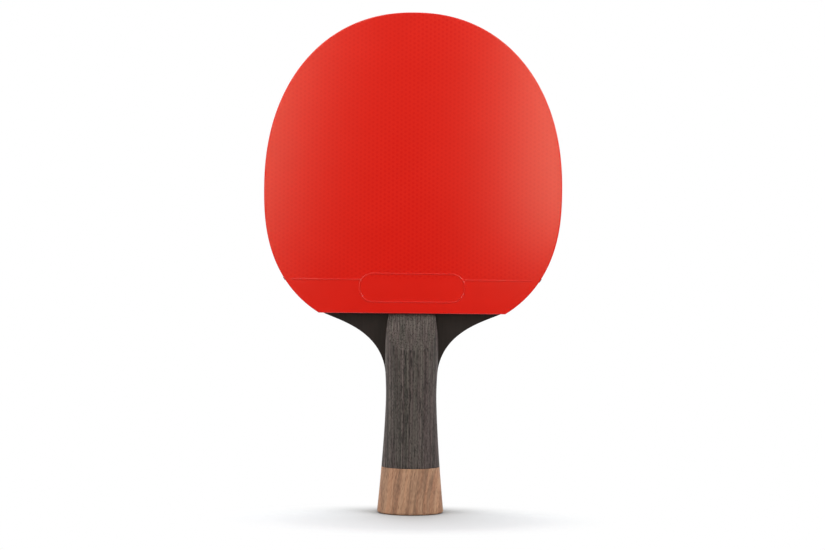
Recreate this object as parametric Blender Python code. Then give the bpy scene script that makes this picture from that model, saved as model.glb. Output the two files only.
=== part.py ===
"""Table tennis paddle: a seven-ply blade, a flared handle of glued scales and a rubber on each face.

The paddle stands on its butt. +Z runs up the handle to the tip of the head, the front (red) face
looks along -Y, and the origin is the middle of the flat butt. All sizes are in metres.
"""

import math

import bmesh
import bpy
from mathutils import Vector
from mathutils.geometry import interpolate_bezier

# Head outline, as the rubber sheets are cut
RUBBER_WIDTH = 0.151
LOWER_EDGE = 0.0945  # length of the straight edge beside the handle
CHEEK_RISE = 0.063  # lower edge up to the widest line
CHEEK_FULLNESS = 2.45  # exponent of a superellipse: 2 is an ellipse, more is squarer
CROWN_RISE = 0.0895  # widest line up to the tip
CROWN_FULLNESS = 2.18
RUBBER_OVERHANG = 0.0008  # rubber standing past the edge of the blade

# Layers, from the middle of the blade outwards
CORE_PLY = 0.0028
INNER_PLY = 0.0007
FIBRE_PLY = 0.0003
FACE_PLY = 0.0006
SPONGE = 0.0020
TOPSHEET = 0.0017
GLUE_LINE = 0.00005

# Handle outline, shared by the scales, the butt blocks and the tang of every ply
HANDLE_LENGTH = 0.1015  # butt up to the lower edge of the rubber
BUTT_WIDTH = 0.0339
BUTT_FLARE = 1.44  # exponent of the flare from waist to butt: 1 is a straight taper
BUTT_ROUND = 0.0015  # radius round the edge of the butt
WAIST_WIDTH = 0.0257
WAIST_DROP = 0.0417  # waist below the lower edge of the rubber
SWELL_WIDTH = 0.0271
SWELL_DROP = 0.0190  # widest line of the handle's top below the lower edge of the rubber
TOP_WIDTH = 0.0234

# Scales and butt blocks
SCALE_THICKNESS = 0.0083
BUTT_FULLNESS = 1.85  # exponent of the crowned section at the butt: an oval
TOP_FULLNESS = 3.8  # and beside the rubber, where it is squarer
BUTT_BLOCK_HEIGHT = 0.0235
RAMP_LENGTH = 0.0182  # sloping top of a scale, where the finger rests
RAMP_TOE = 0.0020  # thickness left at the end of the ramp
RUBBER_GAP = 0.0003  # end of a scale to the lower edge of the rubber

# Concave shoulders of the blade, from the cheek down to the side of the handle
SHOULDER_START = 0.0008  # above the lower edge of the rubber
SHOULDER_DROP = 0.0340  # foot of the shoulder below the lower edge of the rubber
SHOULDER_UPPER_PULL = 0.008  # how far the curve keeps the direction of the cheek
SHOULDER_LOWER_PULL = 0.0263  # how far it keeps the direction of the handle's side

# Facets along each stretch
CROWN_STEPS = 24
CHEEK_STEPS = 14
SHOULDER_STEPS = 12
HANDLE_STEPS = 20
BLOCK_STEPS = 6
ROUND_STEPS = 4
SECTION_STEPS = 24
SHARP_ANGLE = math.radians(30)  # edges steeper than this stay crisp

PARTS_COLLECTION = "table_tennis_paddle"

# Finishes: linear base colour, roughness
RED_RUBBER = ((0.63, 0.014, 0.009), 0.45)
BLACK_RUBBER = ((0.012, 0.012, 0.013), 0.45)
SPONGE_FOAM = ((0.80, 0.47, 0.20), 0.90)
PALE_WOOD = ((0.58, 0.41, 0.25), 0.60)
CORE_WOOD = ((0.66, 0.50, 0.33), 0.65)
FIBRE_WEAVE = ((0.020, 0.020, 0.022), 0.45)
BLACK_STAIN = ((0.017, 0.016, 0.014), 0.50)
GREY_WOOD = ((0.110, 0.092, 0.080), 0.55)
BROWN_WOOD = ((0.37, 0.20, 0.12), 0.50)


def superellipse(half_width, height, fullness, angle):
    """A point of a superellipse's first quarter: angle 0 is its widest point, 90 degrees its top."""
    power = 2 / fullness
    return half_width * max(math.cos(angle), 0.0) ** power, height * math.sin(angle) ** power


def cheek_reach():
    """Depth below the widest line at which the cheeks would close if no straight edge cut them off."""
    edge_share = (LOWER_EDGE / RUBBER_WIDTH) ** CHEEK_FULLNESS
    return CHEEK_RISE / (1 - edge_share) ** (1 / CHEEK_FULLNESS)


def head_side(inset, lowest):
    """Right-hand side of the head from the tip down to the height lowest, inset from the rubber's edge."""
    half_width = RUBBER_WIDTH / 2 - inset
    reach = cheek_reach() - inset
    widest = HANDLE_LENGTH + CHEEK_RISE
    points = []
    for step in range(CROWN_STEPS):
        angle = math.pi / 2 * (1 - step / CROWN_STEPS)
        x, rise = superellipse(half_width, CROWN_RISE - inset, CROWN_FULLNESS, angle)
        points.append((x, widest + rise))
    last_angle = math.asin(((widest - lowest) / reach) ** (CHEEK_FULLNESS / 2))
    for step in range(CHEEK_STEPS + 1):
        angle = last_angle * step / CHEEK_STEPS
        x, drop = superellipse(half_width, reach, CHEEK_FULLNESS, angle)
        points.append((x, widest - drop))
    return points


def butt_inset(z):
    """How far the round of the butt's edge draws the handle in at height z."""
    below = max(BUTT_ROUND - z, 0.0)
    return BUTT_ROUND - math.sqrt(BUTT_ROUND**2 - below**2)


def handle_half_width(z):
    """Half the width of the handle at height z, before the butt's edge is rounded."""
    waist = HANDLE_LENGTH - WAIST_DROP
    swell = HANDLE_LENGTH - SWELL_DROP
    if z < waist:
        share = ((waist - z) / waist) ** BUTT_FLARE
        width = WAIST_WIDTH + (BUTT_WIDTH - WAIST_WIDTH) * share
    elif z < swell:
        run = (z - waist) / (swell - waist)
        width = WAIST_WIDTH + (SWELL_WIDTH - WAIST_WIDTH) * run**2 * (3 - 2 * run)
    else:
        run = (z - swell) / SWELL_DROP
        width = SWELL_WIDTH - (SWELL_WIDTH - TOP_WIDTH) * run**2
    return width / 2


def round_heights():
    """Heights of the rings that round the butt's edge, from the butt up."""
    return [BUTT_ROUND * (1 - math.cos(math.pi / 2 * step / ROUND_STEPS)) for step in range(ROUND_STEPS)]


def even_heights(low, high, steps):
    return [low + (high - low) * step / steps for step in range(steps + 1)]


def shoulder_side(start):
    """Right-hand shoulder, from the point start on the cheek to its foot on the handle's side."""
    half_width = RUBBER_WIDTH / 2 - RUBBER_OVERHANG
    reach = cheek_reach() - RUBBER_OVERHANG
    x, z = start
    down_share = (HANDLE_LENGTH + CHEEK_RISE - z) / reach
    lean = (down_share * half_width / x) ** (CHEEK_FULLNESS - 1) * half_width / reach
    cheek_direction = Vector((-lean, -1, 0)).normalized()
    foot_z = HANDLE_LENGTH - SHOULDER_DROP
    top = Vector((x, z, 0))
    foot = Vector((handle_half_width(foot_z), foot_z, 0))
    curve = interpolate_bezier(
        top,
        top + cheek_direction * SHOULDER_UPPER_PULL,
        foot + Vector((0, SHOULDER_LOWER_PULL, 0)),
        foot,
        SHOULDER_STEPS + 1,
    )
    return [(point.x, point.y) for point in curve]


def mirrored(side):
    """The whole outline from its right-hand side, which starts on the centre line at the tip."""
    return side + [(-x, z) for x, z in reversed(side[1:])]


def rubber_outline():
    return mirrored(head_side(0.0, HANDLE_LENGTH))


def blade_outline():
    head = head_side(RUBBER_OVERHANG, HANDLE_LENGTH + SHOULDER_START)
    shoulder = shoulder_side(head[-1])
    heights = round_heights() + even_heights(BUTT_ROUND, shoulder[-1][1], HANDLE_STEPS)
    tang = [(handle_half_width(z) - butt_inset(z), z) for z in reversed(heights)]
    return mirrored(head + shoulder[1:] + tang[1:])


def finish(name, colour, roughness):
    material = bpy.data.materials.new(name)
    material.use_nodes = True
    shader = material.node_tree.nodes["Principled BSDF"]
    shader.inputs["Base Color"].default_value = (*colour, 1)
    shader.inputs["Roughness"].default_value = roughness
    shader.inputs["Metallic"].default_value = 0.0
    material.diffuse_color = (*colour, 1)
    return material


def add_part(name, data, material, parent):
    part = bpy.data.objects.new(name, data)
    if not data.materials:
        data.materials.append(material)
    bpy.data.collections[PARTS_COLLECTION].objects.link(part)
    part.parent = parent
    return part


def add_layer(name, outline, thickness, middle, material, parent):
    """A flat layer of the blade or the rubbers, upright, with its middle plane at y = middle."""
    curve = bpy.data.curves.new(name, "CURVE")
    curve.dimensions = "2D"
    curve.fill_mode = "BOTH"
    curve.extrude = thickness / 2
    spline = curve.splines.new("POLY")
    spline.points.add(len(outline) - 1)
    for point, (x, z) in zip(spline.points, outline):
        point.co = (x, z, 0, 1)
    spline.use_cyclic_u = True
    layer = add_part(name, curve, material, parent)
    layer.location.y = middle
    layer.rotation_euler.x = math.pi / 2


def section_ring(z, seat):
    """Crowned section of the front half of the handle at height z, standing on the blade at y = -seat."""
    inset = butt_inset(z)
    half_width = handle_half_width(z) - inset
    crown = SCALE_THICKNESS - inset
    fullness = BUTT_FULLNESS + (TOP_FULLNESS - BUTT_FULLNESS) * (z / HANDLE_LENGTH) ** 2
    ring = []
    for step in range(SECTION_STEPS + 1):
        angle = math.pi * step / SECTION_STEPS
        x, rise = superellipse(half_width, crown, fullness, min(angle, math.pi - angle))
        side = 1 if 2 * step <= SECTION_STEPS else -1
        ring.append(Vector((side * x, -seat - rise, z)))
    return ring


def loft(rings):
    """A closed bmesh through rings of equal length, with flat ends."""
    bm = bmesh.new()
    loops = [[bm.verts.new(point) for point in ring] for ring in rings]
    for lower, upper in zip(loops, loops[1:]):
        for i in range(len(lower)):
            j = (i + 1) % len(lower)
            bm.faces.new((lower[i], lower[j], upper[j], upper[i]))
    bm.faces.new(loops[0])
    bm.faces.new(loops[-1])
    bmesh.ops.recalc_face_normals(bm, faces=bm.faces[:])
    return bm


def as_mesh(name, bm):
    mesh = bpy.data.meshes.new(name)
    bm.to_mesh(mesh)
    bm.free()
    mesh.shade_smooth()
    mesh.set_sharp_from_angle(angle=SHARP_ANGLE)
    return mesh


def scale_mesh(seat):
    """Front handle scale: lofted, then planed off to the ramp under the rubber's lower edge."""
    top = HANDLE_LENGTH - RUBBER_GAP
    heights = even_heights(BUTT_BLOCK_HEIGHT + GLUE_LINE, top, HANDLE_STEPS)
    bm = loft([section_ring(z, seat) for z in heights])
    planed = bmesh.ops.bisect_plane(
        bm,
        geom=bm.verts[:] + bm.edges[:] + bm.faces[:],
        plane_co=(0, -seat - RAMP_TOE, top),
        plane_no=(0, -RAMP_LENGTH, SCALE_THICKNESS - RAMP_TOE),
        clear_outer=True,
    )
    rim = [part for part in planed["geom_cut"] if isinstance(part, bmesh.types.BMEdge)]
    bmesh.ops.edgeloop_fill(bm, edges=rim)
    bmesh.ops.recalc_face_normals(bm, faces=bm.faces[:])
    return as_mesh("handle_scale", bm)


def block_mesh(seat):
    """Front butt block: the handle's flared end, rounded over at the butt's edge."""
    heights = round_heights() + even_heights(BUTT_ROUND, BUTT_BLOCK_HEIGHT, BLOCK_STEPS)
    return as_mesh("butt_block", loft([section_ring(z, seat) for z in heights]))


def add_handle_pair(kind, mesh, material, parent):
    """The front piece and its twin on the rear, turned half a turn about the handle's axis."""
    add_part(f"front_{kind}", mesh, material, parent)
    rear = add_part(f"rear_{kind}", mesh, material, parent)
    rear.rotation_euler.z = math.pi


def main():
    for old in list(bpy.data.objects):
        bpy.data.objects.remove(old)
    parts = bpy.data.collections.new(PARTS_COLLECTION)
    bpy.context.scene.collection.children.link(parts)
    paddle = bpy.data.objects.new("paddle_axis", None)
    parts.objects.link(paddle)

    red = finish("red_rubber", *RED_RUBBER)
    black = finish("black_rubber", *BLACK_RUBBER)
    foam = finish("sponge_foam", *SPONGE_FOAM)
    pale = finish("pale_wood", *PALE_WOOD)
    core = finish("core_wood", *CORE_WOOD)
    fibre = finish("fibre_weave", *FIBRE_WEAVE)
    stain = finish("black_stained_wood", *BLACK_STAIN)
    grey = finish("grey_wood", *GREY_WOOD)
    brown = finish("brown_wood", *BROWN_WOOD)

    blade = blade_outline()
    rubber = rubber_outline()
    add_layer("core_ply", blade, CORE_PLY, 0.0, core, paddle)

    # Each side is stacked outwards from the core; -1 is the front and +1 the rear
    for place, facing, sheet in (("front", -1, red), ("rear", 1, black)):
        level = CORE_PLY / 2
        for kind, outline, thickness, material in (
            ("inner_ply", blade, INNER_PLY, pale),
            ("fibre_ply", blade, FIBRE_PLY, fibre),
            ("face_ply", blade, FACE_PLY, stain),
            ("sponge", rubber, SPONGE, foam),
            ("topsheet", rubber, TOPSHEET, sheet),
        ):
            middle = level + GLUE_LINE + thickness / 2
            add_layer(f"{place}_{kind}", outline, thickness, facing * middle, material, paddle)
            level += GLUE_LINE + thickness

    blade_half = CORE_PLY / 2 + INNER_PLY + FIBRE_PLY + FACE_PLY + 3 * GLUE_LINE
    handle_seat = blade_half + GLUE_LINE
    add_handle_pair("handle_scale", scale_mesh(handle_seat), grey, paddle)
    add_handle_pair("butt_block", block_mesh(handle_seat), brown, paddle)


main()
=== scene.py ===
"""Finished looks of the table tennis paddle: rubber sheets, laminated blade and two-tone handle.

All sizes are in metres, in the frame of the CAD part: +Z up the handle, the red face looks along -Y.
Patterns in the materials are written in millimetres.
"""

import math

import bmesh
import bpy
import numpy as np
from mathutils import Matrix, Quaternion, Vector, kdtree
from mathutils.geometry import interpolate_bezier


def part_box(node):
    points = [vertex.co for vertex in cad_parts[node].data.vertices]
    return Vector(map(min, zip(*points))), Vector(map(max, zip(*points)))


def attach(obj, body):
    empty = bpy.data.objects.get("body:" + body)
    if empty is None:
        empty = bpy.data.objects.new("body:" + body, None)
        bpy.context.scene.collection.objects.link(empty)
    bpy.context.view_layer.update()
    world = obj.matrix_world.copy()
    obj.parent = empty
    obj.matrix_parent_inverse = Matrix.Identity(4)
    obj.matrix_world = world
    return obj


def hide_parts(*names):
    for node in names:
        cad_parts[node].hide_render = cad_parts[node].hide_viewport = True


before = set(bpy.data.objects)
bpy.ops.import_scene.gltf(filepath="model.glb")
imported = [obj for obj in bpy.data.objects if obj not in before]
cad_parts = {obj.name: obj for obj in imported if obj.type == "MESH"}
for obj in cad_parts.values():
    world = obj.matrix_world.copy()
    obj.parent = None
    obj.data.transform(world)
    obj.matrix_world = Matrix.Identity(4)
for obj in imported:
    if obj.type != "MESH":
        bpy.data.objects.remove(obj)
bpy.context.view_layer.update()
handle_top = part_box("front_topsheet")[0].z  # the handle ends at the rubber

# Rubber sheets
SKIN = 0.00085  # smooth sheet that the pimples stand on
SKIN_ROUND = 0.00035
SPONGE_ROUND = 0.00015
PIMPLE_PITCH = 0.00236
PIMPLE_COLUMNS = PIMPLE_PITCH * math.sqrt(3) / 2
PIMPLE_FOOT = 0.00088  # radius where a pimple leaves the sheet
PIMPLE_HEAD = 0.00072  # radius where it is glued to the sponge
PIMPLE_SIDES = 8
PIMPLE_ROOT = 0.00003  # how far a pimple is let into the sheet
PIMPLE_MARGIN = 0.0010  # centre of the outermost pimples to the cut edge
PIMPLE_BAND = 0.0085  # deepest pimple that can be seen between sheet and sponge
STRIP_ROUND = 0.00010  # edge of the solid strip below the pimples
CUT_INNER = (5.95, 6.15)  # the cut edge, rougher and painted darker as shade, begins between these depths, in mm from the middle
CUT_OUTER = (6.70, 6.93)  # and ends between these

# Moulded ridge on the front sheet
RIDGE_WIDTH = 0.00070
RIDGE_HEIGHT = 0.00022
RIDGE_ROOT = 0.00005
RIDGE_ROUND = 0.00020
RIDGE_STEPS = 3
RIDGE_LEVEL = 0.1186
RIDGE_MARGIN = 0.0040  # end of the ridge to the cut edge
FRAME_SIZE = (0.054, 0.0150)
FRAME_MIDDLE = 0.1145
FRAME_CORNER = 0.0070
FRAME_CORNER_STEPS = 10
FRAME_LAP = 0.0012  # how far the ridge runs into the frame

# Blade
VENEER_ROUND = 0.00006
FACE_ROUND = 0.00025

# Handle
BUTT_FULLNESS = 1.85  # exponent of the crowned section at the butt
TOP_FULLNESS = 3.8  # and at the rubber
SECTION_STEPS = 56
RAMP_LENGTH = 0.0182
RAMP_TOE = 0.0020
RAMP_ROUND = 0.00035
BUTT_ROUND = 0.0015
BUTT_STEPS = 6
JOINT_ROUND = 0.00015
JOINT_STEPS = 2
HANDLE_STEP = 0.0016  # height between sections

EDGE_STEPS = 3  # pieces that each facet of a CAD edge is split into
CAP_INSET = 0.0004
ROUND_SEGMENTS = 4
SHARP_ANGLE = math.radians(35)
SAME = 1e-6  # coordinates closer than this are the same

# Studio: places, sizes and radiances of the lights
OVERHEAD_PLACE = (-0.14, 0.10, 0.85)
OVERHEAD_SIZE = (0.90, 0.25)
OVERHEAD_RADIANCE = 5.45
SIDE_PLACE = (0.35, -0.16, 0.37)  # the right one; the left one mirrors it
SIDE_TARGET = (0, 0, 0.16)
SIDE_SIZE = (0.20, 0.30)
LEFT_RADIANCE = 7.4
RIGHT_RADIANCE = 8.45
LAMP_DISTANCE = 1.25  # of the two strip lights that the red sheet reflects
LAMP_TINT = (1.0, 0.94, 0.66)
LEFT_LAMP = (-0.247, 0.567)  # x and z
LEFT_LAMP_SIZE = (0.12, 0.91)
LEFT_LAMP_RADIANCE = 5.0
LEFT_LAMP_LEAN = math.radians(-10.7)
RIGHT_LAMP = (0.237, 0.470)
RIGHT_LAMP_SIZE = (0.06, 0.60)
RIGHT_LAMP_RADIANCE = 10.6
SKY_FILL = 0.20

# Studio: floor and cloths
FLOOR_SIZE = 40
PAPER = (0.78, 0.796, 0.82)
SHADOW_MIDDLE = -0.020  # along Y
SHADOW_REACH = (0.105, 0.038, 1.0)  # plain white past this ellipse
PAINTED_SHADE_REACH = 0.06  # how far from the floor the paddle darkens it: shade painted into the floor's colour
PAINTED_SHADE_DEPTH = 1.0
CLOTH_WIDTH = 3.6
BACKCLOTH_HEIGHT = 1.6
BACKCLOTH_PLACE = (0, -1.9, 0.1)
FLOORCLOTH_DEPTH = 1.66
FLOORCLOTH_PLACE = (0, -1.07, 0.002)

# Camera of the photograph
CAMERA_PLACE = (0.00009, -0.577, 0.121)
CAMERA_ROLL = math.radians(-0.545)
CAMERA_LENS = 49.15


class Wire:
    """An output socket of a node tree. Arithmetic on wires adds Math nodes."""

    def __init__(self, tree, socket=None):
        self.tree = tree
        self.socket = socket

    def node(self, kind, settings=(), sockets=(), output=0):
        """A new node's output: its settings are set first, then its sockets get values or links."""
        made = self.tree.nodes.new("ShaderNode" + kind)
        for name, value in dict(settings).items():
            setattr(made, name, value)
        for key, value in dict(sockets).items():
            if isinstance(value, Wire):
                self.tree.links.new(value.socket, made.inputs[key])
            else:
                made.inputs[key].default_value = value
        return Wire(self.tree, made.outputs[output])

    def math(self, operation, *values):
        return self.node("Math", {"operation": operation}, enumerate(values))

    def __add__(self, other):
        return self.math("ADD", self, other)

    def __sub__(self, other):
        return self.math("SUBTRACT", self, other)

    def __rsub__(self, other):
        return self.math("SUBTRACT", other, self)

    def __mul__(self, other):
        return self.math("MULTIPLY", self, other)

    def __truediv__(self, other):
        return self.math("DIVIDE", self, other)

    __radd__ = __add__
    __rmul__ = __mul__

    def fract(self):
        return self.math("FRACT", self)

    def lesser(self, other):
        return self.math("MINIMUM", self, other)

    def greater(self, other):
        return self.math("MAXIMUM", self, other)

    def rise(self, low, high, to_low=0.0, to_high=1.0):
        """This value eased from to_low, at low and under, to to_high, at high and over."""
        settings = {"interpolation_type": "SMOOTHSTEP"}
        sockets = {"Value": self, "From Min": low, "From Max": high, "To Min": to_low, "To Max": to_high}
        return self.node("MapRange", settings, sockets)

    def tint(self, low, high):
        """The colour low where this value is 0 and high where it is 1."""
        colours = [c if isinstance(c, Wire) else (*c, 1) for c in (low, high)]
        sockets = {0: self, 6: colours[0], 7: colours[1]}
        return self.node("Mix", {"data_type": "RGBA"}, sockets, 2)

    def part(self, axis):
        return self.node("SeparateXYZ", (), {0: self}, axis)

    def turned(self, scale, rotation=(0, 0, 0), location=(0, 0, 0)):
        """These coordinates turned, then scaled: scale is in pattern units to the metre."""
        spun = self.node("Mapping", (), {"Vector": self, "Rotation": rotation, "Location": location})
        return spun.node("VectorMath", {"operation": "MULTIPLY"}, {0: spun, 1: scale})

    def noise(self, detail=2.0, roughness=0.5):
        sockets = {"Vector": self, "Scale": 1.0, "Detail": detail, "Roughness": roughness}
        return self.node("TexNoise", (), sockets)

    def cells(self):
        """Distance to the nearest of randomly scattered points."""
        return self.node("TexVoronoi", (), {"Vector": self, "Scale": 1.0}, "Distance")

    def bump(self, strength, distance):
        sockets = {"Strength": strength, "Distance": distance, "Height": self}
        return self.node("Bump", (), sockets, "Normal")


def per_mm(x, y, z):
    """Pattern units to the millimetre, as a scale for coordinates in metres."""
    return (x * 1000, y * 1000, z * 1000)


def new_finish(name):
    """A new material and its Object coordinates."""
    material = bpy.data.materials.new(name)
    material.use_nodes = True
    return material, Wire(material.node_tree).node("TexCoord", output="Object")


def dress(material, colour, roughness, normal, specular):
    """Joins a material's colour, roughness and normal to its shader."""
    shader = material.node_tree.nodes["Principled BSDF"]
    for socket, value in (("Base Color", colour), ("Roughness", roughness), ("Normal", normal)):
        material.node_tree.links.new(value.socket, shader.inputs[socket])
    shader.inputs["Specular IOR Level"].default_value = specular
    return material


def pimple_dots(place):
    """1 on the marks that the pimples behind the sheet leave on its face, 0 between and below them."""
    across = place.part("X") / (2 * PIMPLE_COLUMNS)
    up = place.part("Z") / PIMPLE_PITCH
    nearest = None
    for shift in (0.0, 0.5):
        dx = ((across + shift).fract() - 0.5) * (2 * PIMPLE_COLUMNS * 1000)
        dz = ((up + shift).fract() - 0.5) * (PIMPLE_PITCH * 1000)
        distance = dx * dx + dz * dz
        nearest = distance if nearest is None else nearest.lesser(distance)
    pimpled = place.part("Z").rise(RIDGE_LEVEL, RIDGE_LEVEL + PIMPLE_MARGIN)
    return nearest.rise(0.05, 0.75, 1.0, 0.0) * pimpled


def rubber_finish(name, specular, deep, bright, dotted, cut):
    """Smooth rubber sheet with faint marks of its pimples and a dull cut edge, which is rougher and
    painted darker as shade.
    """
    material, place = new_finish(name)
    dots = pimple_dots(place)
    across = place.part("Y")
    depth = across.math("ABSOLUTE", across) * 1000
    edge = depth.rise(*CUT_INNER) * depth.rise(*CUT_OUTER, 1.0, 0.0)
    cloud = place.turned(per_mm(0.05, 0.05, 0.05)).noise(2.0)
    speck = place.turned(per_mm(6, 6, 6)).noise(1.0)
    face = (dots * 0.6).tint(cloud.tint(deep, bright), dotted)
    # The cut edge and its rounded rim take the darker cut colour: painted shade.
    colour = edge.tint(face, cut)
    roughness = 0.185 + speck * 0.03 + cloud * 0.02 - dots * 0.030 + edge * 0.3
    normal = (speck * 0.15 - dots).bump(0.10, 0.00004)
    return dress(material, colour, roughness, normal, specular)


def sponge_finish():
    """Open-pored foam sponge, with painted shade in its pores."""
    material, place = new_finish("sponge_foam")
    pores = place.turned(per_mm(3.2, 3.2, 3.2)).cells().rise(0.18, 0.42, 1.0, 0.0)
    large = place.turned(per_mm(1.3, 1.3, 1.3)).cells().rise(0.12, 0.26, 1.0, 0.0)
    holes = pores.greater(large)
    cloud = place.turned(per_mm(0.2, 0.2, 0.2)).noise(2.0)
    foam = cloud.tint((0.72, 0.38, 0.14), (0.86, 0.52, 0.24))
    # The holes are painted darker: painted shade inside the pores.
    colour = holes.tint(foam, (0.36, 0.15, 0.045))
    roughness = 0.85 + holes * 0.1
    return dress(material, colour, roughness, (1 - holes).bump(0.6, 0.00012), 0.3)


def veneer_finish(name, along, dark, pale):
    """Sanded veneer with its grain along X or Z."""
    material, place = new_finish(name)
    slow, quick = 0.06, 2.4
    run = (slow, quick, quick) if along == "X" else (quick, quick, slow)
    wide = tuple(v * 0.2 for v in run)
    streak = place.turned(per_mm(*run)).noise(3.0, 0.6)
    band = place.turned(per_mm(*wide)).noise(2.0)
    tone = (streak * 0.6 + band * 0.6).rise(0.35, 0.85)
    colour = tone.tint(dark, pale)
    roughness = 0.55 + streak * 0.15
    return dress(material, colour, roughness, streak.bump(0.25, 0.00008), 0.3)


def fibre_finish():
    """Dark woven fibre set in resin, its weave painted lighter as sheen."""
    material, place = new_finish("fibre_weave")
    warp = (place.part("X") * 700).fract().rise(0.2, 0.5) * 0.5
    weft = (place.part("Z") * 700).fract().rise(0.2, 0.5) * 0.5
    speck = place.turned(per_mm(5, 5, 5)).noise(1.0)
    weave_and_sheen = warp + weft
    # The warp and weft are painted lighter: painted sheen of the weave.
    colour = (weave_and_sheen * speck).tint((0.010, 0.010, 0.011), (0.060, 0.060, 0.066))
    roughness = 0.38 + weave_and_sheen * 0.15
    return dress(material, colour, roughness, weave_and_sheen.bump(0.3, 0.00006), 0.4)


def black_stain_finish():
    """Face veneer stained black, with its grain just showing."""
    material, place = new_finish("black_stained_wood")
    streak = place.turned(per_mm(2.6, 2.6, 0.05)).noise(3.0, 0.6)
    pores = place.turned(per_mm(1.6, 1.6, 0.10)).cells().rise(0.12, 0.30, 1.0, 0.0)
    stain = streak.rise(0.3, 0.75).tint((0.0096, 0.0047, 0.0036), (0.0162, 0.0090, 0.0073))
    colour = pores.tint(stain, (0.006, 0.004, 0.0035))
    roughness = 0.48 + streak * 0.18
    return dress(material, colour, roughness, (streak * 0.5 - pores).bump(0.25, 0.00006), 0.3)


def grey_wood_finish():
    """Grey dyed wood of the handle: open pores run up the grain and show as dots on the ramp."""
    material, place = new_finish("grey_wood")
    drift = place.turned(per_mm(0.10, 0.04, 0.02)).noise(1.0)
    sway = drift.node("VectorMath", {"operation": "SCALE"}, {0: (0.0006, 0.0006, 0.0), "Scale": drift})
    grain = place.node("VectorMath", {"operation": "ADD"}, {0: place, 1: sway})
    band = grain.turned(per_mm(0.30, 0.10, 0.007)).noise(2.0)
    blush = grain.turned(per_mm(0.80, 0.20, 0.012), location=(0.05, 0, 0)).noise(1.0).rise(0.38, 0.62)
    streak = grain.turned(per_mm(1.80, 0.30, 0.012)).noise(1.0, 0.6).rise(0.28, 0.72)
    line = grain.turned(per_mm(1.25, 0.20, 0.007), location=(0.02, 0, 0)).noise(1.0).rise(0.58, 0.66)
    fine = grain.turned(per_mm(2.0, 3.0, 0.70)).noise(0.0)
    pores = grain.turned(per_mm(1.00, 2.8, 0.09)).cells().rise(0.20, 0.34, 1.0, 0.0)
    small = grain.turned(per_mm(1.4, 3.2, 0.50)).cells().rise(0.18, 0.36, 1.0, 0.0)
    tone = (streak * 0.52 + fine * 0.70 + band * 0.34).rise(0.32, 1.24)
    dark = blush.tint((0.0230, 0.0201, 0.0166), (0.0280, 0.0182, 0.0168))
    pale = blush.tint((0.0935, 0.0795, 0.0690), (0.1015, 0.0768, 0.0722))
    wood = tone.tint(dark, pale)
    lit = (line * 0.55).tint(wood, (0.157, 0.131, 0.118))
    hollow = pores.greater(small * 0.8)
    colour = (hollow * 0.88).tint(lit, (0.012, 0.0098, 0.0085))
    roughness = 0.50 + hollow * 0.25 + fine * 0.08
    normal = (streak * 0.4 + fine * 0.2 - hollow).bump(0.35, 0.00010)
    return dress(material, colour, roughness, normal, 0.3)


def brown_wood_finish():
    """Brown wood of the butt: slanting bands, fine pores."""
    material, place = new_finish("brown_wood")
    sway = place.turned(per_mm(0.10, 0.08, 0.05)).noise(1.0)
    shift = sway.node("VectorMath", {"operation": "SCALE"}, {0: (0.0040, 0.0, 0.0), "Scale": sway})
    grain = place.node("VectorMath", {"operation": "ADD"}, {0: place, 1: shift})
    slant = (0.0, math.radians(-7.0), 0.0)
    band = grain.turned(per_mm(0.30, 0.20, 0.012), slant, (0.081, 0, 0)).noise(2.0, 0.6).rise(0.34, 0.66)
    blush = grain.turned(per_mm(0.50, 0.30, 0.020), slant, (0.05, 0, 0)).noise(2.0).rise(0.36, 0.64)
    streak = grain.turned(per_mm(1.20, 0.60, 0.030), slant).noise(2.0, 0.6)
    fine = grain.turned(per_mm(2.0, 2.0, 0.50), slant).noise(0.0)
    pores = grain.turned(per_mm(1.4, 1.6, 0.22), slant).cells().rise(0.14, 0.28, 1.0, 0.0)
    tone = (band * 0.42 + streak * 0.66 + fine * 0.45).rise(0.27, 1.25)
    dark = blush.tint((0.178, 0.092, 0.054), (0.205, 0.093, 0.053))
    pale = blush.tint((0.484, 0.280, 0.168), (0.510, 0.267, 0.151))
    wood = tone.tint(dark, pale)
    colour = (pores * 0.5).tint(wood, (0.095, 0.046, 0.028))
    roughness = 0.42 + pores * 0.2 + fine * 0.08
    normal = (streak * 0.3 + fine * 0.2 - pores).bump(0.25, 0.00008)
    return dress(material, colour, roughness, normal, 0.4)


def cad_side(node):
    """Right-hand edge of a CAD piece on its side nearer the rear, as (x, z) points from the top down."""
    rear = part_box(node)[1].y
    on_rear = [v.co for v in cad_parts[node].data.vertices if abs(v.co.y - rear) < SAME]
    points = {(round(co.x, 6), round(co.z, 6)) for co in on_rear if co.x >= 0}
    return sorted(points, key=lambda point: -point[1])


def smooth_side(points):
    """The same edge on smooth curves through its points, level at the tip of the head."""
    knots = [Vector((x, z, 0)) for x, z in points]
    before = Vector((-knots[1].x, knots[1].y, 0)) if knots[0].x < SAME else 2 * knots[0] - knots[1]
    after = 2 * knots[-1] - knots[-2]
    run = [before, *knots, after]
    fine = []
    for a, start, end, b in zip(run, run[1:], run[2:], run[3:]):
        reach = (end - start).length / 3
        lead = start + (end - a).normalized() * reach
        trail = end - (b - start).normalized() * reach
        fine += interpolate_bezier(start, lead, trail, end, EDGE_STEPS + 1)[:-1]
    return [(point.x, point.y) for point in [*fine, knots[-1]]]


def widths(side):
    """Half the width at a height, read off an edge."""
    rising = side[::-1]
    heights = [z for x, z in rising]
    halves = [x for x, z in rising]
    return lambda z: float(np.interp(z, heights, halves))


def facing(bm, direction):
    """Faces that look along or against Y."""
    return [face for face in bm.faces if abs(face.normal.y) > 0.99 and face.normal.y * direction > 0]


def round_edges(bm, edges, radius, segments=ROUND_SEGMENTS):
    bmesh.ops.bevel(
        bm,
        geom=edges,
        offset=radius,
        affect="EDGES",
        segments=segments,
        profile=0.5,
        material=-1,
        clamp_overlap=False,
    )


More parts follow.
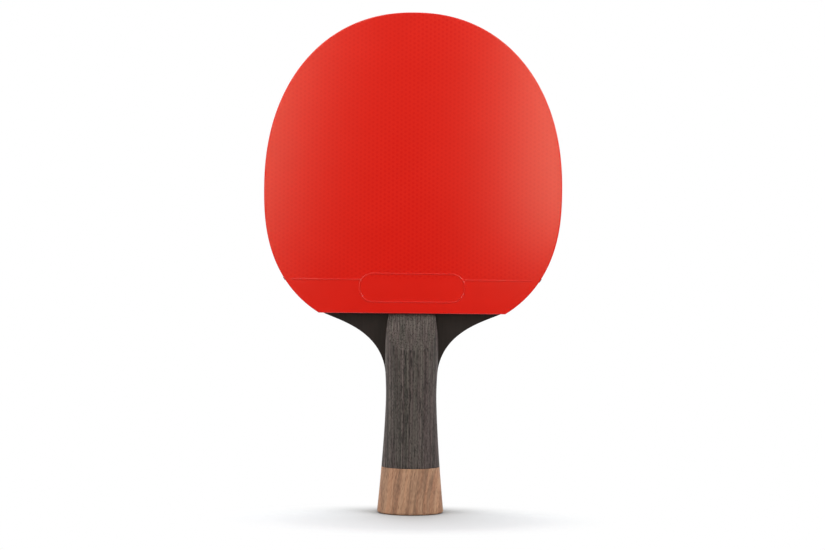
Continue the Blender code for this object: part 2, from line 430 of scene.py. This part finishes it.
def layer(side, front, rear, radius):
    """A flat layer cut to an outline, between two y levels, with its edges rounded."""
    bm = bmesh.new()
    outline = side + [(-x, z) for x, z in reversed(side) if x > 0]
    face = bm.faces.new([bm.verts.new((x, front, z)) for x, z in outline])
    grown = bmesh.ops.extrude_face_region(bm, geom=[face])["geom"]
    back = [part for part in grown if isinstance(part, bmesh.types.BMVert)]
    bmesh.ops.translate(bm, verts=back, vec=(0, rear - front, 0))
    bmesh.ops.recalc_face_normals(bm, faces=bm.faces[:])
    rim = {edge for direction in (-1, 1) for face in facing(bm, direction) for edge in face.edges}
    round_edges(bm, list(rim), radius)
    for direction in (-1, 1):
        cap = facing(bm, direction)
        bmesh.ops.inset_region(bm, faces=cap, thickness=CAP_INSET, use_even_offset=True)
    return bm


def section(half_width, seat, crown, z):
    """Crowned section of the front half of the handle, standing on the blade."""
    fullness = BUTT_FULLNESS + (TOP_FULLNESS - BUTT_FULLNESS) * (z / handle_top) ** 2
    power = 2 / fullness
    points = []
    for step in range(SECTION_STEPS + 1):
        angle = math.pi * step / SECTION_STEPS
        across = math.copysign(abs(math.cos(angle)) ** power, math.cos(angle))
        points.append((half_width * across, seat - crown * math.sin(angle) ** power, z))
    return points


def loft(rings):
    """A solid through rings of equal length: each is extruded from the last and moved to its place."""
    bm = bmesh.new()
    cap = bm.faces.new([bm.verts.new(point) for point in rings[0]])
    for ring in rings[1:]:
        grown = bmesh.ops.extrude_face_region(bm, geom=[cap, *cap.edges])["geom"]
        cap = next(part for part in grown if isinstance(part, bmesh.types.BMFace))
        for vert, point in zip(cap.verts, ring):
            vert.co = point
    bmesh.ops.recalc_face_normals(bm, faces=bm.faces[:])
    return bm


def heights_between(low, high):
    count = math.ceil((high - low) / HANDLE_STEP)
    return [low + (high - low) * step / count for step in range(count + 1)]


def turned_to_rear(bm):
    """The same piece on the rear, half a turn about the handle's axis away."""
    bmesh.ops.rotate(bm, verts=bm.verts[:], cent=(0, 0, 0), matrix=Matrix.Rotation(math.pi, 3, "Z"))
    return bm


def handle_scale(half_width):
    """Front handle scale, planed off to a ramp below the rubber, with softened edges."""
    low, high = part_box("front_handle_scale")
    seat = high.y
    crown = high.y - low.y
    rings = [section(half_width(z), seat, crown, z) for z in heights_between(low.z, high.z)]
    bm = loft(rings)
    planed = bmesh.ops.bisect_plane(
        bm,
        geom=bm.verts[:] + bm.edges[:] + bm.faces[:],
        plane_co=(0, seat - RAMP_TOE, high.z),
        plane_no=(0, -RAMP_LENGTH, crown - RAMP_TOE),
        clear_outer=True,
    )
    rim = [part for part in planed["geom_cut"] if isinstance(part, bmesh.types.BMEdge)]
    bmesh.ops.edgeloop_fill(bm, edges=rim)
    bmesh.ops.recalc_face_normals(bm, faces=bm.faces[:])
    below_top = [edge for edge in rim if min(v.co.z for v in edge.verts) < high.z - SAME]
    round_edges(bm, below_top, RAMP_ROUND)
    foot = [edge for edge in bm.edges if all(abs(v.co.z - low.z) < SAME for v in edge.verts)]
    crowned = [edge for edge in foot if max(v.co.y for v in edge.verts) < seat - SAME]
    round_edges(bm, crowned, JOINT_ROUND, JOINT_STEPS)
    return bm


def butt_block(half_width):
    """Front butt block, rounded over at the butt."""
    low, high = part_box("front_butt_block")
    seat = high.y
    crown = high.y - low.y
    heights = [0.0, *heights_between(BUTT_ROUND, high.z)]
    slope = (half_width(BUTT_ROUND) - half_width(2 * BUTT_ROUND)) / BUTT_ROUND
    halves = [half_width(BUTT_ROUND) + slope * BUTT_ROUND, *(half_width(z) for z in heights[1:])]
    bm = loft([section(half, seat, crown, z) for half, z in zip(halves, heights)])
    for level, radius, steps in ((low.z, BUTT_ROUND, BUTT_STEPS), (high.z, JOINT_ROUND, JOINT_STEPS)):
        ring = [edge for edge in bm.edges if all(abs(v.co.z - level) < SAME for v in edge.verts)]
        outer = [edge for edge in ring if min(v.co.y for v in edge.verts) < seat - SAME]
        round_edges(bm, outer, radius, steps)
    return bm


def pimples(side, root, head):
    """The rows of pimples behind the cut edge, from the sheet at y = root to the sponge at y = head."""
    rim = kdtree.KDTree(2 * len(side))
    for number, (x, z) in enumerate(side):
        rim.insert((x, 0, z), 2 * number)
        rim.insert((-x, 0, z), 2 * number + 1)
    rim.balance()
    half_width = widths(side)
    upright = Matrix.Rotation(math.copysign(math.pi / 2, root - head), 4, "X")
    columns = math.ceil(max(x for x, z in side) / PIMPLE_COLUMNS)
    rows = math.ceil(side[0][1] / PIMPLE_PITCH)
    bm = bmesh.new()
    for column in range(-columns, columns + 1):
        x = column * PIMPLE_COLUMNS
        for row in range(rows):
            z = (row + column % 2 / 2) * PIMPLE_PITCH
            inside = abs(x) < half_width(z) and RIDGE_LEVEL + PIMPLE_MARGIN < z < side[0][1]
            if not inside:
                continue
            depth = rim.find((x, 0, z))[2]
            if not PIMPLE_MARGIN < depth < PIMPLE_BAND:
                continue
            bmesh.ops.create_cone(
                bm,
                cap_ends=True,
                segments=PIMPLE_SIDES,
                radius1=PIMPLE_FOOT,
                radius2=PIMPLE_HEAD,
                depth=abs(root - head),
                matrix=Matrix.Translation((x, (root + head) / 2, z)) @ upright,
            )
    return bm


def ridge(half_width, level):
    """Plain moulded ridge across the front sheet, with a bare rounded frame in its middle."""
    bm = bmesh.new()
    to_face = Matrix.Translation((0, level + RIDGE_ROOT, 0)) @ Matrix.Rotation(math.pi / 2, 4, "X")
    width, height = FRAME_SIZE
    plate = Matrix.Translation((0, FRAME_MIDDLE, 0)) @ Matrix.Diagonal((width, height, 1, 1))
    bmesh.ops.create_grid(bm, x_segments=1, y_segments=1, size=0.5, matrix=to_face @ plate)
    bmesh.ops.bevel(
        bm,
        geom=bm.verts[:],
        offset=FRAME_CORNER,
        affect="VERTICES",
        segments=FRAME_CORNER_STEPS,
        profile=0.5,
        material=-1,
    )
    inner = bm.faces[:]
    bmesh.ops.inset_region(
        bm,
        faces=inner,
        thickness=RIDGE_WIDTH,
        use_boundary=True,
        use_even_offset=True,
    )
    bmesh.ops.delete(bm, geom=inner, context="FACES")
    end = half_width(RIDGE_LEVEL) - RIDGE_MARGIN
    start = width / 2 - FRAME_LAP
    for side in (-1, 1):
        middle = Matrix.Translation((side * (start + end) / 2, RIDGE_LEVEL, 0))
        bar = middle @ Matrix.Diagonal((end - start, RIDGE_WIDTH, 1, 1))
        bmesh.ops.create_grid(bm, x_segments=1, y_segments=1, size=0.5, matrix=to_face @ bar)
    grown = bmesh.ops.extrude_face_region(bm, geom=bm.faces[:])["geom"]
    top = [part for part in grown if isinstance(part, bmesh.types.BMVert)]
    bmesh.ops.translate(bm, verts=top, vec=(0, -RIDGE_HEIGHT - RIDGE_ROOT, 0))
    bmesh.ops.recalc_face_normals(bm, faces=bm.faces[:])
    on_top = [edge for edge in bm.edges if all(vert in top for vert in edge.verts)]
    crest = [edge for edge in on_top if edge.calc_face_angle(0) > 1]
    round_edges(bm, crest, RIDGE_ROUND, RIDGE_STEPS)
    return bm


def piece(name, bm, material, slot, *nodes):
    """A finished piece of the paddle, which stands for these CAD nodes."""
    mesh = bpy.data.meshes.new(name)
    bm.to_mesh(mesh)
    bm.free()
    mesh.materials.append(material)
    mesh.shade_smooth()
    mesh.set_sharp_from_angle(angle=SHARP_ANGLE)
    made = bpy.data.objects.new(name, mesh)
    bpy.context.scene.collection.objects.link(made)
    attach(made, "root")
    if nodes:
        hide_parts(*nodes)


def flat_piece(name, node, side, material, slot, radius):
    """A flat layer in the place of a CAD node."""
    low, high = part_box(node)
    piece(name, layer(side, low.y, high.y, radius), material, slot, node)


def build_blade():
    side = smooth_side(cad_side("core_ply"))
    core = veneer_finish("core_wood", "Z", (0.56, 0.39, 0.24), (0.76, 0.60, 0.42))
    inner = veneer_finish("pale_wood", "X", (0.37, 0.23, 0.125), (0.56, 0.39, 0.235))
    fibre = fibre_finish()
    face = black_stain_finish()
    flat_piece("blade_core", "core_ply", side, core, "core_wood", VENEER_ROUND)
    for place in ("front", "rear"):
        flat_piece(f"{place}_inner_veneer", f"{place}_inner_ply", side, inner, "pale_wood", VENEER_ROUND)
        flat_piece(f"{place}_fibre_layer", f"{place}_fibre_ply", side, fibre, "fibre_weave", VENEER_ROUND)
        stained = f"{place}_face_ply"
        flat_piece(f"{place}_face_veneer", stained, side, face, "black_stained_wood", FACE_ROUND)


def build_rubbers():
    side = smooth_side(cad_side("front_topsheet"))
    foam = sponge_finish()
    # The last colour of each set is the cut edge's, painted darker as shade.
    reds = (0.60, 0.0060, 0.0013), (0.65, 0.0072, 0.0019), (0.57, 0.0014, 0.0001), (0.34, 0.0080, 0.0050)
    blacks = (0.0105,) * 3, (0.0135, 0.0135, 0.0140), (0.0075,) * 3, (0.0080,) * 3
    red = rubber_finish("red_rubber", 0.5, *reds)
    black = rubber_finish("black_rubber", 0.35, *blacks)
    sides = ("front", -1, red, "red_rubber"), ("rear", 1, black, "black_rubber")
    strip = [(widths(side)(RIDGE_LEVEL), RIDGE_LEVEL)]
    strip += [point for point in side if point[1] < RIDGE_LEVEL]
    for place, outward, sheet, slot in sides:
        flat_piece(f"{place}_sponge_sheet", f"{place}_sponge", side, foam, "sponge_foam", SPONGE_ROUND)
        low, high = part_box(f"{place}_topsheet")
        face, glue = (low.y, high.y) if outward < 0 else (high.y, low.y)
        inner = face - outward * SKIN
        skin = layer(side, min(face, inner), max(face, inner), SKIN_ROUND)
        piece(f"{place}_rubber_sheet", skin, sheet, slot, f"{place}_topsheet")
        root = inner + outward * PIMPLE_ROOT
        piece(f"{place}_rubber_pimples", pimples(side, root, glue), sheet, slot)
        solid = layer(strip, min(root, glue), max(root, glue), STRIP_ROUND)
        piece(f"{place}_rubber_strip", solid, sheet, slot)
    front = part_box("front_topsheet")[0].y
    piece("front_moulded_ridge", ridge(widths(side), front), red, "red_rubber")


def build_handle():
    side = cad_side("front_handle_scale") + cad_side("front_butt_block")
    half_width = widths(smooth_side(side))
    grey = grey_wood_finish()
    brown = brown_wood_finish()
    for kind, make, material, slot in (
        ("handle_scale", handle_scale, grey, "grey_wood"),
        ("butt_block", butt_block, brown, "brown_wood"),
    ):
        piece(f"front_{kind}_wood", make(half_width), material, slot, f"front_{kind}")
        piece(f"rear_{kind}_wood", turned_to_rear(make(half_width)), material, slot, f"rear_{kind}")


def soft_light(name, place, target, size, radiance, tint=(1, 1, 1), lean=0):
    """A rectangular softbox at place, turned to target and leaning by an angle, of even brightness."""
    light = bpy.data.lights.new(name, "AREA")
    light.shape = "RECTANGLE"
    light.size, light.size_y = size
    light.energy = radiance * math.pi * light.size * light.size_y
    light.color = tint
    lamp = bpy.data.objects.new(name, light)
    bpy.context.scene.collection.objects.link(lamp)
    lamp.location = place
    aim = (Vector(target) - Vector(place)).to_track_quat("-Z", "Y")
    lamp.rotation_euler = (aim @ Quaternion((0, 0, 1), lean)).to_euler()
    lamp.visible_camera = False


def flat_stage(name, width, depth, matrix):
    """A flat sheet of the studio, not part of the paddle."""
    bm = bmesh.new()
    grow = Matrix.Diagonal((width, depth, 1, 1))
    bmesh.ops.create_grid(bm, x_segments=1, y_segments=1, size=0.5, matrix=matrix @ grow)
    mesh = bpy.data.meshes.new(name)
    bm.to_mesh(mesh)
    bm.free()
    sheet = bpy.data.objects.new(name, mesh)
    bpy.context.scene.collection.objects.link(sheet)
    return sheet


def seen_directly(wire):
    """1 on rays from the camera, from a reflection or through glass."""
    kinds = ("Is Camera Ray", "Is Glossy Ray", "Is Transmission Ray")
    rays = [wire.node("LightPath", output=kind) for kind in kinds]
    return rays[0].greater(rays[1]).greater(rays[2])


def build_floor():
    """White floor that keeps the shadow round the butt, deepened near the paddle by shade painted into
    its colour, and is plain white further out.
    """
    floor = flat_stage("studio_floor", FLOOR_SIZE, FLOOR_SIZE, Matrix.Identity(4))
    material, place = new_finish("studio_white")
    tree = material.node_tree
    paper = tree.nodes["Principled BSDF"]
    paper.inputs["Specular IOR Level"].default_value = 0
    centred = place.node("VectorMath", {"operation": "SUBTRACT"}, {0: place, 1: (0, SHADOW_MIDDLE, 0)})
    reach = centred.node("VectorMath", {"operation": "DIVIDE"}, {0: centred, 1: SHADOW_REACH})
    far = reach.node("VectorMath", {"operation": "LENGTH"}, {0: reach}, "Value").rise(0.5, 1.0)
    seen = seen_directly(place)
    # Painted shade: the floor's colour is darkened where the paddle closes off the open sky close by, on
    # rays seen directly.
    open_sky = place.node("AmbientOcclusion", {"samples": 16}, {"Distance": PAINTED_SHADE_REACH}, "AO")
    painted_shade = (1 - open_sky) * PAINTED_SHADE_DEPTH * seen
    tree.links.new(painted_shade.tint(PAPER, (0, 0, 0)).socket, paper.inputs["Base Color"])
    glow = place.node("Emission", (), {"Color": (1, 1, 1, 1), "Strength": 1.0})
    shown = place.node("MixShader", (), {0: far * seen, 1: Wire(tree, paper.outputs[0]), 2: glow})
    tree.links.new(shown.socket, tree.nodes["Material Output"].inputs["Surface"])
    floor.data.materials.append(material)


def build_flags():
    """Black cloths behind the camera and over the floor there, which only reflections see."""
    cloth = bpy.data.materials.new("black_cloth")
    cloth.use_nodes = True
    shader = cloth.node_tree.nodes["Principled BSDF"]
    shader.inputs["Base Color"].default_value = (0.004, 0.004, 0.004, 1)
    shader.inputs["Roughness"].default_value = 0.9
    upright = Matrix.Translation(BACKCLOTH_PLACE) @ Matrix.Rotation(math.pi / 2, 4, "X")
    level = Matrix.Translation(FLOORCLOTH_PLACE)
    for name, depth, matrix in (
        ("black_backcloth", BACKCLOTH_HEIGHT, upright),
        ("black_floorcloth", FLOORCLOTH_DEPTH, level),
    ):
        sheet = flat_stage(name, CLOTH_WIDTH, depth, matrix)
        sheet.data.materials.append(cloth)
        sheet.visible_camera = False
        sheet.visible_diffuse = False
        sheet.visible_shadow = False


def build_world():
    """White where it is seen, and a dimmer sky that fills the shadows."""
    world = bpy.data.worlds.new("studio")
    bpy.context.scene.world = world
    world.use_nodes = True
    tree = world.node_tree
    tree.nodes.remove(tree.nodes["Background"])
    start = Wire(tree)
    fill = start.node("Background", (), {"Color": (1, 1, 1, 1), "Strength": SKY_FILL})
    white = start.node("Background", (), {"Color": (1, 1, 1, 1), "Strength": 1.0})
    shown = start.node("MixShader", (), {0: seen_directly(start), 1: fill, 2: white})
    tree.links.new(shown.socket, tree.nodes["World Output"].inputs["Surface"])


def build_studio():
    build_world()
    build_floor()
    build_flags()
    x, y, z = OVERHEAD_PLACE
    soft_light("overhead_softbox", OVERHEAD_PLACE, (x, y, 0), OVERHEAD_SIZE, OVERHEAD_RADIANCE)
    x, y, z = SIDE_PLACE
    soft_light("left_softbox", (-x, y, z), SIDE_TARGET, SIDE_SIZE, LEFT_RADIANCE)
    soft_light("right_softbox", (x, y, z), SIDE_TARGET, SIDE_SIZE, RIGHT_RADIANCE)
    for name, (x, z), size, radiance, lean in (
        ("left_strip", LEFT_LAMP, LEFT_LAMP_SIZE, LEFT_LAMP_RADIANCE, LEFT_LAMP_LEAN),
        ("right_strip", RIGHT_LAMP, RIGHT_LAMP_SIZE, RIGHT_LAMP_RADIANCE, 0),
    ):
        soft_light(name, (x, -LAMP_DISTANCE, z), (x, 0, z), size, radiance, LAMP_TINT, lean)


def build_camera():
    camera = bpy.data.objects.new("camera", bpy.data.cameras.new("camera"))
    bpy.context.scene.collection.objects.link(camera)
    camera.location = CAMERA_PLACE
    camera.rotation_euler = (math.pi / 2, CAMERA_ROLL, 0)
    camera.data.lens = CAMERA_LENS
    camera.data.sensor_width = 36
    bpy.context.scene.camera = camera


build_blade()
build_rubbers()
build_handle()
build_studio()
build_camera()
bpy.context.scene.view_settings.view_transform = "Standard"
